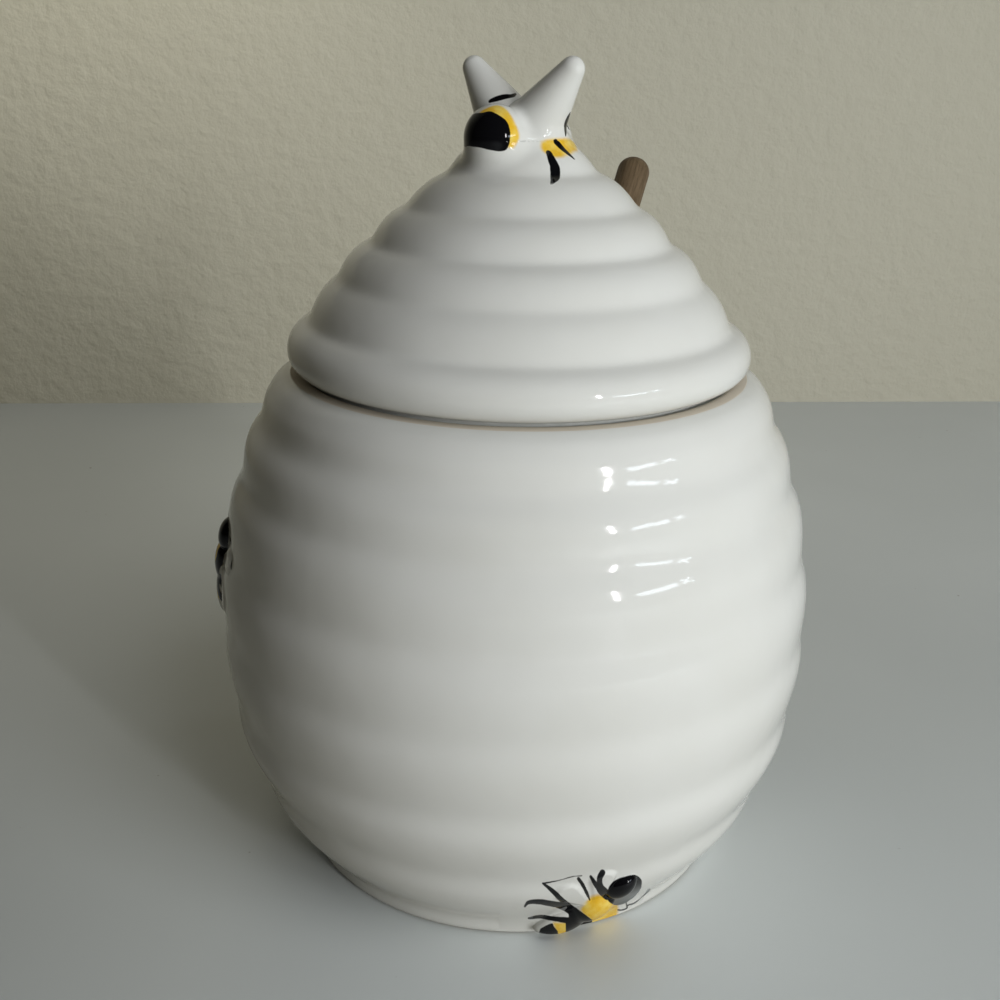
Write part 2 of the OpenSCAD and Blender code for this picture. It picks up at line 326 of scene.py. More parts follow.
def settle(p, field, rounds=6, cap=0.6):
    """Moves points onto the field's surface."""
    for _ in range(rounds):
        f = field(p)
        g = gradient(field, p)
        move = -f[:, None] * g / np.maximum((g * g).sum(1), 0.05)[:, None]
        length = np.linalg.norm(move, axis=1)
        p = p + move * np.minimum(1.0, cap / np.maximum(length, 1e-9))[:, None]
    return p


# ---------------------------------------------------------------- painted strokes

def curve_through(points, steps=6):
    """A smooth line through given points, in any number of columns."""
    p = np.asarray(points, float)
    if len(p) < 3:
        t = np.linspace(0, 1, steps + 1)[:, None]
        return p[0] * (1 - t) + p[-1] * t
    ends = np.concatenate([[2 * p[0] - p[1]], p, [2 * p[-1] - p[-2]]])
    line = []
    t = np.linspace(0, 1, steps + 1)[:-1, None]
    for a, b, c, d in zip(ends[:-3], ends[1:-2], ends[2:-1], ends[3:]):
        line.append(0.5 * (2 * b + (c - a) * t + (2 * a - 5 * b + 4 * c - d) * t ** 2
                           + (3 * b - a - 3 * c + d) * t ** 3))
    line.append(p[-1:])
    return np.concatenate(line)


def stroke_distance(q, points):
    """Distance to a brush stroke, whose points are places with the half width there."""
    line = curve_through(points)
    best = np.full(len(q), 1e3)
    for a, b in zip(line[:-1], line[1:]):
        d = b[:-1] - a[:-1]
        t = np.clip(((q - a[:-1]) @ d) / max(d @ d, 1e-9), 0.0, 1.0)
        away = np.linalg.norm(q - a[:-1] - t[:, None] * d, axis=1)
        best = np.minimum(best, away - (a[-1] + (b[-1] - a[-1]) * t))
    return best


def blot_distance(q, centre, semi):
    """Distance to a painted oval."""
    x, y = (q - np.asarray(centre, float)).T
    k0 = np.hypot(x / semi[0], y / semi[1])
    k1 = np.hypot(x / semi[0] ** 2, y / semi[1] ** 2)
    return k0 * (k0 - 1) / np.maximum(k1, 1e-6)


def outline_distance(q, points):
    """Signed distance to a painted patch with a smooth closed outline."""
    p = np.asarray(points, float)
    closed = curve_through(np.concatenate([p[-1:], p, p[:2]]), 5)[5:-5]
    best = np.full(len(q), 1e3)
    inside = np.zeros(len(q), bool)
    for a, b in zip(closed[:-1], closed[1:]):
        d = b - a
        t = np.clip(((q - a) @ d) / max(d @ d, 1e-9), 0.0, 1.0)
        best = np.minimum(best, np.linalg.norm(q - a - t[:, None] * d, axis=1))
        crosses = (a[1] > q[:, 1]) != (b[1] > q[:, 1])
        with np.errstate(divide="ignore", invalid="ignore"):
            at = a[0] + (q[:, 1] - a[1]) * d[0] / d[1]
        inside ^= crosses & (q[:, 0] < at)
    return np.where(inside, -best, best)


# ---------------------------------------------------------------- low bees

WING_ROOT_U = 2.0
WING_L = 9.4
WING_RELIEF = 0.6


class LowBee:
    """A bee laid on the pot, with its own coordinates: u to its head, v to its left, w outwards."""

    def __init__(self, azimuth, z, heading, wing_angles, head_at, head_semi, fullness):
        self.azimuth = math.radians(azimuth)
        self.z = z
        slope = (np.interp(z - 6, *POT_TABLE) - np.interp(z + 6, *POT_TABLE)) / 12
        lean = math.atan(slope)
        c, s = math.cos(self.azimuth), math.sin(self.azimuth)
        self.n = np.array([c * math.cos(lean), s * math.cos(lean), math.sin(lean)])
        around = np.array([-s, c, 0.0])
        up = np.cross(self.n, around)
        h = math.radians(heading)
        self.u = around * math.cos(h) + up * math.sin(h)
        self.v = np.cross(self.n, self.u)
        mean_r = np.interp(z, *POT_TABLE)
        self.c = np.array([c * mean_r, s * mean_r, z])
        self.wing_angles = wing_angles
        self.head_at, self.head_semi, self.fullness = head_at, head_semi, fullness

    def local(self, p):
        d = p - self.c
        return np.stack([d @ self.u, d @ self.v, d @ self.n], -1)

    def relief(self, uv):
        """Height of the bee's body over the pot, below 0 outside it."""
        eggs = [(self.head_at, self.head_semi, 2.9), ((1.6, 0.0), (4.9, 3.5), 3.3),
                ((-5.2, 0.0), (6.6, 3.4), 2.7)]
        top = np.full(len(uv), -4.0)
        for centre, semi, height in eggs:
            d = (uv - centre) / semi
            k = np.sqrt((d * d).sum(1))
            cap = self.fullness * height * np.sqrt(np.maximum(1 - k * k, 0.0))
            top = smooth_max(top, cap - 3.0 * np.maximum(k - 1, 0.0), 0.5)
        return top

    def wing(self, uv):
        """Height of the flat wings over the pot."""
        best = np.full(len(uv), -1.0)
        for angle in self.wing_angles:
            a = math.radians(angle)
            d = uv - np.array([WING_ROOT_U, 0.0])
            x = d[:, 0] * math.cos(a) + d[:, 1] * math.sin(a)
            y = -d[:, 0] * math.sin(a) + d[:, 1] * math.cos(a)
            t = np.clip(x / WING_L, 0.0, 1.0)
            inside = (0.8 + 1.9 * t) - np.hypot(x - WING_L * t, y)
            best = np.maximum(best, WING_RELIEF * smooth_step(inside / 1.3 + 0.3))
        return best

    def height(self, p):
        """How far the bee stands out of the pot at each point p of the pot's outside."""
        uv = self.local(p)[:, :2]
        z = p[:, 2] - pot_sway(p[:, 2], np.arctan2(p[:, 1], p[:, 0]))
        coil = np.interp(z, *POT_TABLE) - np.interp(z, *PLAIN_TABLE)
        body = self.relief(uv) - coil
        raised = smooth_max(body, self.wing(uv) - 0.6 * coil, 0.5)
        return smooth_max(raised, np.zeros(len(uv)), 0.35)


front_bee = LowBee(286.5, 8.6, 46.0, [46.0, 88.0], (8.8, 1.0), (3.4, 2.7), 0.8)
left_bee = LowBee(190.0, 61.0, 75.0, [56.0, 112.0, -56.0, -112.0], (8.0, 0.0), (3.6, 3.0), 0.7)


# ---------------------------------------------------------------- mesh making

def make_piece(name, points, faces, fields=None):
    """A mesh object from points in millimetres, with per-point fields for its material."""
    mesh = bpy.data.meshes.new(name)
    mesh.from_pydata((np.asarray(points, float) * MM).tolist(), [], faces)
    for key, values in (fields or {}).items():
        values = np.asarray(values, np.float32)
        kind = "FLOAT_VECTOR" if values.ndim == 2 else "FLOAT"
        attribute = mesh.attributes.new(key, kind, "POINT")
        attribute.data.foreach_set("vector" if values.ndim == 2 else "value", values.ravel())
    mesh.polygons.foreach_set("use_smooth", [True] * len(mesh.polygons))
    mesh.update()
    piece = bpy.data.objects.new(name, mesh)
    bpy.context.scene.collection.objects.link(piece)
    return piece


def grid_faces(rows, columns, wrap):
    """Quads of a grid of points stored row by row."""
    r = np.arange(rows - 1)[:, None]
    c = np.arange(columns if wrap else columns - 1)[None, :]
    nxt = (c + 1) % columns
    quads = np.stack([r * columns + c, r * columns + nxt,
                      (r + 1) * columns + nxt, (r + 1) * columns + c], -1)
    return quads.reshape(-1, 4).tolist()


def lathe(name, line, columns, shape=None, fields=None):
    """Turns an outline that starts and ends on the axis. shape moves the points that it makes."""
    line = np.asarray(line, float)
    theta = np.linspace(0, 2 * np.pi, columns, endpoint=False)
    ring = line[1:-1]
    r, z = np.repeat(ring[:, 0], columns), np.repeat(ring[:, 1], columns)
    t = np.tile(theta, len(ring))
    points = np.stack([r * np.cos(t), r * np.sin(t), z], 1)
    if shape is not None:
        points = shape(points, r, z, t)
    first, last = len(points), len(points) + 1
    poles = np.array([[0, 0, line[0, 1]], [0, 0, line[-1, 1]]], float)
    if shape is not None:
        poles = shape(poles, np.zeros(2), poles[:, 2], np.zeros(2))
    points = np.concatenate([points, poles])
    faces = grid_faces(len(ring), columns, True)
    base = (len(ring) - 1) * columns
    for c in range(columns):
        n = (c + 1) % columns
        faces.append([first, n, c])
        faces.append([last, base + c, base + n])
    return make_piece(name, points, faces, fields(points) if fields else None)


def from_field(name, parts, field, voxel, fields=None, cut=None, shading=None):
    """A closed mesh on a field's surface: rough parts joined into one skin, then settled on it."""
    mesh = bpy.data.meshes.new(name)
    points, faces = [], []
    for p, f in parts:
        faces += [[i + len(points) for i in face] for face in f]
        points += (np.asarray(p) * MM).tolist()
    mesh.from_pydata(points, [], faces)
    piece = bpy.data.objects.new(name, mesh)
    bpy.context.scene.collection.objects.link(piece)
    if cut is not None:
        tool = make_piece(name + "_cut", *cut)
        boolean = piece.modifiers.new("cut", "BOOLEAN")
        boolean.object = tool
        boolean.operation = "DIFFERENCE"
        boolean.solver = "EXACT"
    remesh = piece.modifiers.new("skin", "REMESH")
    remesh.mode = "VOXEL"
    remesh.voxel_size = voxel * MM
    depsgraph = bpy.context.evaluated_depsgraph_get()
    skin = bpy.data.meshes.new_from_object(piece.evaluated_get(depsgraph))
    bpy.data.objects.remove(piece)
    if cut is not None:
        bpy.data.objects.remove(tool)
    co = np.zeros(len(skin.vertices) * 3, np.float32)
    skin.vertices.foreach_get("co", co)
    p = co.reshape(-1, 3).astype(float) / MM
    edges = np.zeros(len(skin.edges) * 2, np.int32)
    skin.edges.foreach_get("vertices", edges)
    edges = edges.reshape(-1, 2)
    count = np.bincount(edges.ravel(), minlength=len(p))[:, None]
    p = settle(p, field)
    for _ in range(2):
        mean = np.zeros_like(p)
        np.add.at(mean, edges[:, 0], p[edges[:, 1]])
        np.add.at(mean, edges[:, 1], p[edges[:, 0]])
        p = p + 0.5 * (mean / count - p)
        p = settle(p, field, 3)
    quads = [list(f.vertices) for f in skin.polygons]
    bpy.data.meshes.remove(skin)
    made = make_piece(name, p, quads, fields(p) if fields else None)
    normals = gradient(shading or field, p)
    normals /= np.linalg.norm(normals, axis=1)[:, None]
    made.data.normals_split_custom_set_from_vertices(normals.tolist())
    return made


def ball_part(centre, radius, rings=16, columns=24):
    """Rough closed ball or ellipsoid, as points and faces."""
    radii = np.asarray(radius, float) * np.ones(3)
    a = np.linspace(-np.pi / 2, np.pi / 2, rings + 1)
    line = np.stack([np.cos(a), np.sin(a)], 1)
    return turned_part(line, columns, lambda p: p * radii + centre)


def turned_part(line, columns, place=lambda p: p):
    """Rough lathe part, as points and faces. The line starts and ends on the axis."""
    line = np.asarray(line, float)
    t = np.linspace(0, 2 * np.pi, columns, endpoint=False)
    ring = line[1:-1]
    p = np.stack([np.outer(ring[:, 0], np.cos(t)).ravel(), np.outer(ring[:, 0], np.sin(t)).ravel(),
                  np.repeat(ring[:, 1], columns)], 1)
    p = np.concatenate([p, [[0, 0, line[0, 1]], [0, 0, line[-1, 1]]]])
    faces = grid_faces(len(ring), columns, True)
    first, last, base = len(p) - 2, len(p) - 1, (len(ring) - 1) * columns
    for c in range(columns):
        n = (c + 1) % columns
        faces.append([first, n, c])
        faces.append([last, base + c, base + n])
    return place(p), faces


# ---------------------------------------------------------------- materials

WHITE = (0.725, 0.735, 0.71, 1)
WHITE_POOLED = (0.67, 0.675, 0.635, 1)
YELLOW = (0.78, 0.47, 0.025, 1)
YELLOW_THIN = (0.84, 0.64, 0.14, 1)
BLACK = (0.004, 0.004, 0.005, 1)
# bare clay: real on the foot ring, and on the pot's rim also painted shade that darkens the seam
# under the lid
BARE_CLAY_AND_SEAM_SHADE = (0.62, 0.56, 0.47, 1)


class Nodes:
    """Short hands for building one material's nodes."""

    def __init__(self, name):
        self.material = bpy.data.materials.new(name)
        self.material.use_nodes = True
        self.tree = self.material.node_tree
        self.shader = self.tree.nodes["Principled BSDF"]

    def new(self, kind, **inputs):
        node = self.tree.nodes.new(kind)
        for key, value in inputs.items():
            self.put(node.inputs[key.replace("_", " ")], value)
        return node

    def put(self, socket, value):
        if isinstance(value, bpy.types.NodeSocket):
            self.tree.links.new(value, socket)
        else:
            socket.default_value = value

    def set(self, **inputs):
        for key, value in inputs.items():
            self.put(self.shader.inputs[key.replace("_", " ")], value)

    def attribute(self, name, output="Fac"):
        node = self.tree.nodes.new("ShaderNodeAttribute")
        node.attribute_name = name
        return node.outputs[output]

    def math(self, operation, a, b=0.0):
        node = self.tree.nodes.new("ShaderNodeMath")
        node.operation = operation
        self.put(node.inputs[0], a)
        self.put(node.inputs[1], b)
        return node.outputs[0]

    def ramp(self, value, low, high, to_low=0.0, to_high=1.0):
        node = self.tree.nodes.new("ShaderNodeMapRange")
        node.interpolation_type = "SMOOTHSTEP"
        for key, number in (("Value", value), ("From Min", low), ("From Max", high),
                            ("To Min", to_low), ("To Max", to_high)):
            self.put(node.inputs[key], number)
        return node.outputs["Result"]

    def mix(self, factor, a, b):
        node = self.tree.nodes.new("ShaderNodeMix")
        node.data_type = "RGBA"
        self.put(node.inputs[0], factor)
        self.put(node.inputs[6], a)
        self.put(node.inputs[7], b)
        return node.outputs[2]

    def noise(self, vector, scale, detail=2.0, roughness=0.5):
        node = self.tree.nodes.new("ShaderNodeTexNoise")
        self.put(node.inputs["Vector"], vector)
        node.inputs["Scale"].default_value = scale
        node.inputs["Detail"].default_value = detail
        node.inputs["Roughness"].default_value = roughness
        return node.outputs["Fac"]

    def place(self):
        """Object coordinates in metres."""
        return self.tree.nodes.new("ShaderNodeTexCoord").outputs["Object"]

    def across(self, place):
        """The x and y of a place."""
        parts = self.new("ShaderNodeSeparateXYZ", Vector=place).outputs
        return parts["X"], parts["Y"]

    def scaled(self, colour, factor):
        node = self.tree.nodes.new("ShaderNodeVectorMath")
        node.operation = "SCALE"
        self.put(node.inputs[0], colour)
        self.put(node.inputs["Scale"], factor)
        return node.outputs[0]

    def looked_at(self):
        """1 for rays that show the surface, 0 for light that the surface sends on."""
        path = self.tree.nodes.new("ShaderNodeLightPath").outputs
        shown = self.math("MAXIMUM", path["Is Camera Ray"], path["Is Glossy Ray"])
        return self.math("MAXIMUM", shown, path["Is Transmission Ray"])

    def bump(self, height, distance_mm, strength=1.0, normal=None):
        node = self.tree.nodes.new("ShaderNodeBump")
        node.inputs["Strength"].default_value = strength
        node.inputs["Distance"].default_value = distance_mm * MM
        self.put(node.inputs["Height"], height)
        if normal is not None:
            self.put(node.inputs["Normal"], normal)
        return node.outputs["Normal"]


def glaze(name, painted=False, bare_clay=False):
    """Glossy white glaze, over paint or leaving bare clay where the piece has fields for them."""
    n = Nodes(name)
    place = n.place()
    cloudy = n.ramp(n.noise(place, 38.0, 3.0), 0.35, 0.7)
    colour = n.mix(n.math("MULTIPLY", cloudy, 0.35), WHITE, WHITE_POOLED)
    if painted:
        brush = n.noise(place, 420.0, 3.0, 0.6)
        wander = n.math("MULTIPLY", n.math("SUBTRACT", brush, 0.5), 0.25)
        thin = n.mix(n.ramp(brush, 0.3, 0.75), YELLOW, YELLOW_THIN)
        yellow = n.math("ADD", n.attribute("yellow"), n.math("MULTIPLY", wander, 1.6))
        colour = n.mix(n.ramp(yellow, -0.45, 0.35, 1.0, 0.0), colour, thin)
        black = n.math("ADD", n.attribute("black"), wander)
        colour = n.mix(n.ramp(black, -0.07, 0.1, 1.0, 0.0), colour, BLACK)
    # bare clay where the piece's field asks for it; on the pot's rim it is also painted shade in
    # the seam under the lid
    if bare_clay:
        colour = n.mix(n.ramp(n.attribute("bare"), 0.25, 0.75), colour, BARE_CLAY_AND_SEAM_SHADE)
        n.set(Roughness=n.ramp(n.attribute("bare"), 0.25, 0.75, 0.07, 0.8))
    else:
        n.set(Roughness=0.07)
    n.set(Specular_IOR_Level=0.28)
    ripple = n.noise(place, 95.0, 2.0)
    peel = n.noise(place, 650.0, 1.0)
    normal = n.bump(peel, 0.004)
    n.set(Base_Color=colour, IOR=1.5, Normal=n.bump(ripple, 0.12, 1.0, normal))
    return n.material


def wood(name, dark, light):
    """Bare turned wood, with its grain along the dipper."""
    n = Nodes(name)
    grain = n.attribute("grain", "Vector")
    stretch = n.new("ShaderNodeMapping", Vector=grain, Scale=(1.0, 1.0, 0.06))
    fibre = n.noise(stretch.outputs[0], 1.6, 5.0, 0.65)
    fine = n.noise(stretch.outputs[0], 9.0, 3.0, 0.6)
    rings = n.ramp(n.math("ADD", fibre, n.math("MULTIPLY", fine, 0.35)), 0.45, 0.9)
    colour = n.mix(rings, light, dark)
    pores = n.ramp(fine, 0.58, 0.68)
    deepest = tuple(0.4 * channel for channel in dark[:3]) + (1,)
    colour = n.mix(n.math("MULTIPLY", pores, 0.5), colour, deepest)
    n.set(Base_Color=colour, Roughness=n.ramp(fine, 0.2, 0.8, 0.5, 0.72),
          Normal=n.bump(n.math("SUBTRACT", fibre, n.math("MULTIPLY", pores, 0.5)), 0.15))
    return n.material


# ---------------------------------------------------------------- paint

NO_PAINT = 9.0
# The plane that the front bee is painted on
CHART_NORMAL = unit((-0.075, -0.767, 0.638))
CHART_CENTRE = np.array([13.95, -47.08, 8.6])


def union(*fields):
    return np.minimum.reduce(fields)


def front_chart(p):
    """Where points of the front bee lie on the plane that its painter faced."""
    right = unit(np.array([1.0, 0.0, 0.0]) - CHART_NORMAL[0] * CHART_NORMAL)
    d = p - CHART_CENTRE
    return np.stack([d @ right, d @ np.cross(CHART_NORMAL, right)], 1)


def front_paint(p):
    """Yellow and black fields of the front bee, in millimetres on its chart."""
    q = front_chart(p)
    head = [(4.0, 2.5), (4.9, 4.2), (6.9, 5.2), (9.0, 5.6), (10.3, 4.9), (10.4, 3.4), (9.3, 1.9),
            (7.7, 0.8), (6.0, 0.4), (4.3, 0.9)]
    band = [(-3.1, -0.7), (-1.8, -0.5), (-0.8, -1.3), (0.3, -2.2), (1.2, -2.7), (1.0, -4.6),
            (-1.2, -6.0), (-3.4, -5.6), (-3.7, -2.9), (-3.1, -2.1)]
    tail = [(-8.6, -4.3), (-7.9, -3.7), (-6.3, -3.0), (-5.9, -3.6), (-5.2, -4.7), (-6.0, -6.4),
            (-8.8, -6.0)]
    legs = [[(-7.5, 3.8, 0.15), (-6.0, 2.7, 0.35), (-4.4, 1.2, 0.45), (-3.1, 0.0, 0.6),
             (-1.3, -1.5, 0.8), (0.8, -2.6, 0.5)],
            [(-11.0, -0.1, 0.15), (-10.2, 0.6, 0.3), (-8.3, 0.7, 0.45), (-6.0, 0.4, 0.5),
             (-4.2, 0.0, 0.6), (-2.3, -1.0, 0.7)],
            [(-10.6, -2.2, 0.2), (-8.4, -1.9, 0.35), (-6.0, -2.2, 0.4), (-3.9, -2.4, 0.5),
             (-2.3, -2.5, 0.6)],
            [(-1.2, 4.7, 0.3), (-0.5, 3.8, 0.3), (0.2, 2.5, 0.3), (0.8, 1.2, 0.12)],
            [(1.0, 5.1, 0.25), (1.9, 3.8, 0.4), (2.9, 2.6, 0.5), (4.0, 1.8, 0.6)],
            [(3.1, 5.8, 0.5), (2.6, 4.8, 0.5), (2.8, 3.6, 0.45), (3.8, 2.4, 0.6)]]
    # The first line is painted shadow: the raised wing's shadow along its upper edge, drawn in thin
    # black.
    lines_and_wing_shadow = [[(-7.5, 3.8, 0.1), (-4.9, 4.3, 0.08), (-2.3, 5.0, 0.08), (-0.6, 5.2, 0.08)],
             [(8.3, 0.4, 0.1), (9.7, 0.9, 0.1), (11.3, 2.2, 0.1), (12.2, 3.1, 0.35)],
             [(6.3, -0.5, 0.12), (7.1, -0.5, 0.12), (8.1, -0.1, 0.12), (7.8, 0.9, 0.12)]]
    thorax = [(2.4, 2.1), (3.6, 1.9), (4.8, 1.2), (6.2, 0.4), (6.2, -1.4), (5.2, -4.0),
              (2.4, -5.4), (0.8, -2.3), (-0.2, -1.5), (-0.9, -0.5), (0.0, 0.7), (1.1, 1.8)]
    abdomen = [(-6.1, -2.9), (-4.7, -2.8), (-3.2, -3.0), (-3.0, -5.6), (-6.6, -6.0),
               (-5.6, -4.5)]
    black = union(*[outline_distance(q, shape) for shape in (head, band, tail)],
                  *[stroke_distance(q, shape) for shape in legs + lines_and_wing_shadow])
    yellow = union(outline_distance(q, thorax), outline_distance(q, abdomen))
    return {"black": black, "yellow": yellow}


def left_paint(p):
    """Yellow and black fields of the left bee, the same on both of its sides."""
    q = left_bee.local(p)[:, :2]
    q = np.stack([q[:, 0], np.abs(q[:, 1])], 1)
    legs = [[(9.5, 2.2, 1.0), (5.6, 2.0, 1.0), (3.0, 2.4, 0.9), (-0.4, 1.7, 1.0),
             (-3.4, 1.6, 0.9), (-5.5, 2.6, 0.7), (-6.8, 3.2, 0.3)],
            [(11.2, 5.4, 0.35), (11.6, 7.6, 0.3), (10.2, 9.6, 0.25), (7.6, 10.6, 0.12)],
            [(-0.6, 3.0, 0.6), (-1.6, 6.0, 0.5), (-4.4, 8.6, 0.2)],
            [(-2.2, 2.8, 0.6), (-5.0, 5.0, 0.45), (-7.6, 5.6, 0.2)]]
    black = union(blot_distance(q, (9.6, 0.0), (2.5, 3.1)),
                  blot_distance(q, (-1.4, 0.0), (2.1, 3.6)),
                  blot_distance(q, (-9.6, 0.0), (2.3, 2.4)),
                  *[stroke_distance(q, shape) for shape in legs])
    yellow = union(blot_distance(q, (4.0, 0.0), (3.9, 3.4)),
                   blot_distance(q, (-5.4, 0.0), (2.6, 3.0)))
    return {"black": black, "yellow": yellow}


# Outlines on the knob bee's head: angles from the tip of its face, leftwards and upwards
FACE = [(0.0, 0.84), (0.32, 0.92), (0.86, 0.70), (1.08, 0.34), (1.11, 0.0), (1.0, -0.29),
        (0.80, -0.37), (0.44, -0.31), (0.16, -0.25), (-0.26, -0.23), (-0.61, -0.27),
        (-1.3, -0.22), (-1.52, 0.05), (-1.4, 0.45), (-0.95, 0.72), (-0.35, 0.82)]
BROW = [(-0.15, 0.8), (0.04, 1.10), (0.29, 1.36), (0.77, 1.20), (1.25, 0.64), (1.45, 0.10),
        (1.3, -0.16), (1.1, -0.30), (0.7, 0.0), (0.2, 0.4)]
OTHER_BROW = [(-0.9, 0.45), (-1.2, 0.55), (-1.42, 0.1), (-1.25, -0.2), (-1.0, -0.2), (-0.8, 0.1)]
# Flank patch, seen from the side: forwards and upwards
FLANK = [(5.2, -0.9), (4.6, -0.3), (3.0, 0.1), (0.6, 0.1), (-2.0, 0.0), (-4.4, -0.3),
         (-6.0, -1.2), (-4.0, -2.0), (-1.4, -2.3), (2.8, -3.0), (4.8, -2.9), (5.6, -2.0)]


def knob_paint(p):
    """Yellow and black fields of the knob bee, also where its legs reach the lid."""
    q = knob_local(p)
    d = q - np.array(HEAD_BALL)
    side = np.hypot(d[:, 1], d[:, 2])
    turn = np.arctan2(side, d[:, 0]) / np.maximum(side, 1e-6)
    face = np.stack([d[:, 1] * turn, d[:, 2] * turn], 1)
    on_face = [outline_distance(face * HEAD_BALL_R, np.array(shape) * HEAD_BALL_R)
               for shape in (FACE, BROW, OTHER_BROW)]
    away = np.linalg.norm(d, axis=1) - HEAD_BALL_R
    black = np.maximum(on_face[0], away - 1.2)
    yellow = np.maximum(union(*on_face[1:]), away - 1.6)
    mirrored = np.stack([q[:, 0], np.abs(q[:, 1]), q[:, 2]], 1)
    flank = outline_distance(mirrored[:, ::2], FLANK)
    yellow = union(yellow, np.where(mirrored[:, 1] > 4.0, flank, NO_PAINT))
    legs = [[(4.8, 9.5, -2.2, 0.55), (5.3, 10.6, -3.4, 0.8), (5.7, 11.6, -4.7, 0.95),
             (7.1, 12.6, -6.2, 0.8), (9.2, 13.4, -7.1, 0.2)],
            [(2.2, 9.1, -0.5, 0.55), (1.6, 9.6, -1.2, 0.6), (1.0, 10.5, -2.2, 0.55),
             (0.2, 11.8, -3.4, 0.2)],
            [(-0.3, 9.9, 4.7, 0.3), (-0.4, 9.4, 3.2, 0.8), (-0.9, 8.9, 1.9, 0.8),
             (-0.8, 8.9, 0.6, 0.3)],
            [(-6.4, 5.7, 0.3, 0.1), (-6.7, 5.2, 1.9, 0.45), (-6.4, 4.2, 4.2, 0.5),
             (-6.5, 2.2, 5.5, 0.5), (-6.6, 0.0, 6.0, 0.5)]]
    streak = [(4.9, -3.9, 6.1, 0.35), (4.2, -2.8, 6.5, 0.6), (3.2, -1.8, 6.9, 0.6),
              (2.0, -1.1, 7.1, 0.45), (0.7, -1.3, 7.4, 0.2)]
    black = union(black, stroke_distance(q, streak),
                  *[stroke_distance(mirrored, leg) for leg in legs])
    return {"black": black, "yellow": yellow}


# ---------------------------------------------------------------- pot

POT_FINE = 0.42
POT_COARSE = 1.3
# Where the pot's wall starts below its collar
POT_WALL_TOP = 89.5


def pot_profile():
    """The pot's whole outline: base, outside, rim, collar, wall and floor."""
    outside = POT_LINE[::-1]
    outside = outside[(outside[:, 1] > 1.1) & (outside[:, 1] < SEAM_Z - 4.1)]
    base = [(0.0, 1.5), (30.0, 1.5), (38.8, 1.4)] + arc(40.0, 0.9, 0.9, 160, 262, 6)
    base += [(41.0, 0.0), (43.2, 0.0)] + arc(43.7, 1.2, 1.2, 275, 350, 6)
    outside = np.concatenate([outside, arc(44.1, SEAM_Z - 4.7, 4.6, 20, 86, 12)])
    outside = soften(resample(outside, POT_FINE), 1.1, POT_FINE)
    rim = [(43.9, SEAM_Z - 0.05), (42.4, SEAM_Z - 0.05)]
    rim += arc(42.2, SEAM_Z - 0.95, 0.9, 95, 175, 6)
    wall_z = np.linspace(POT_WALL_TOP, FLOOR_Z, 60)
    collar = [(MOUTH_R, SEAM_Z - 2), (MOUTH_R, SEAM_Z - COLLAR_H)]
    mean = as_table(resample(POT_GROOVES, 1.0))
    wall = [(np.interp(z, *mean) - WALL, z) for z in wall_z]
    inside = resample(collar + wall + [(0.0, FLOOR_Z)], 0.5)
    inside = soften(inside, 1.1, 0.5)
    return np.concatenate([resample(np.concatenate([base, outside, rim]), POT_FINE),
                           resample(inside, POT_COARSE)])


def pot_shape(points, r, z, theta):
    outer = (r > np.interp(z, *POT_TABLE) - 2.0) & (z < SEAM_Z)
    points = points.copy()
    points[:, 2] += np.where(outer, pot_sway(z, theta), 0.0)
    return points


def pot_fields(p):
    """1 on the bare clay of the foot ring and of the rim's top where the lid rests; on the rim this
    bare clay also darkens the seam as painted shade.
    """
    rho, z = np.hypot(p[:, 0], p[:, 1]), p[:, 2]
    foot = (z < 0.45) & (rho > 39.8) & (rho < 44.4)
    # the rim's top under the lid: bare clay that also darkens the seam as painted shade
    seam_shade_seat = (z > SEAM_Z - 0.6) & (rho < 44.6)
    return {"bare": (foot | seam_shade_seat).astype(float)}


pot = lathe("pot", pot_profile(), 480, pot_shape, pot_fields)
pot.data.materials.append(glaze("pot_glaze", bare_clay=True))
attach(pot, "pot")
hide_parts("pot_body")


def grid_normals(p, rows, columns):
    p = p.reshape(rows, columns, 3)
    n = np.cross(np.gradient(p, axis=1), np.gradient(p, axis=0)).reshape(-1, 3)
    return n / np.linalg.norm(n, axis=1)[:, None]


def bee_piece(name, bee, paint, half_angle, z_low, z_high, columns, rows):
    """A patch over the pot that carries one bee. Its border lies just under the pot's surface."""
    a = np.linspace(-1, 1, columns)
    t = bee.azimuth + math.radians(half_angle) * a
    z = np.linspace(z_low, z_high, rows)
    tt, zz = np.meshgrid(t, z)
    tt, zz = tt.ravel(), zz.ravel()
    p = pot_surface(tt, zz)
    normal = grid_normals(p, rows, columns)
    edge = np.minimum(1 - np.abs(np.tile(a, rows)),
                      np.repeat(np.minimum(z - z_low, z_high - z) / 14.0, columns))
    mask = smooth_step(edge / 0.12)
    height = bee.height(p)
    top = p + normal * (height * mask + 0.03 * mask - 0.1 * (1 - mask))[:, None]
    shading = grid_normals(p + normal * height[:, None], rows, columns)
    under = p - normal * 1.2
    points = np.concatenate([top, under])
    n = len(top)
    faces = grid_faces(rows, columns, False)
    faces += [[i + n for i in face[::-1]] for face in faces]
    border = ([(c, c + 1) for c in range(columns - 1)]
              + [((r + 1) * columns - 1, (r + 2) * columns - 1) for r in range(rows - 1)]
              + [(rows * columns - 1 - c, rows * columns - 2 - c) for c in range(columns - 1)]
              + [((rows - 1 - r) * columns, (rows - 2 - r) * columns) for r in range(rows - 1)])
    faces += [[i + n, j + n, j, i] for i, j in border]
    fields = paint(top)
    fields = {k: np.concatenate([v, np.full(n, NO_PAINT)]) for k, v in fields.items()}
    piece = make_piece(name, points, faces, fields)
    piece.data.normals_split_custom_set_from_vertices(np.concatenate([shading, -normal]).tolist())
    piece.data.materials.append(painted_glaze)
    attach(piece, "pot")
    return piece


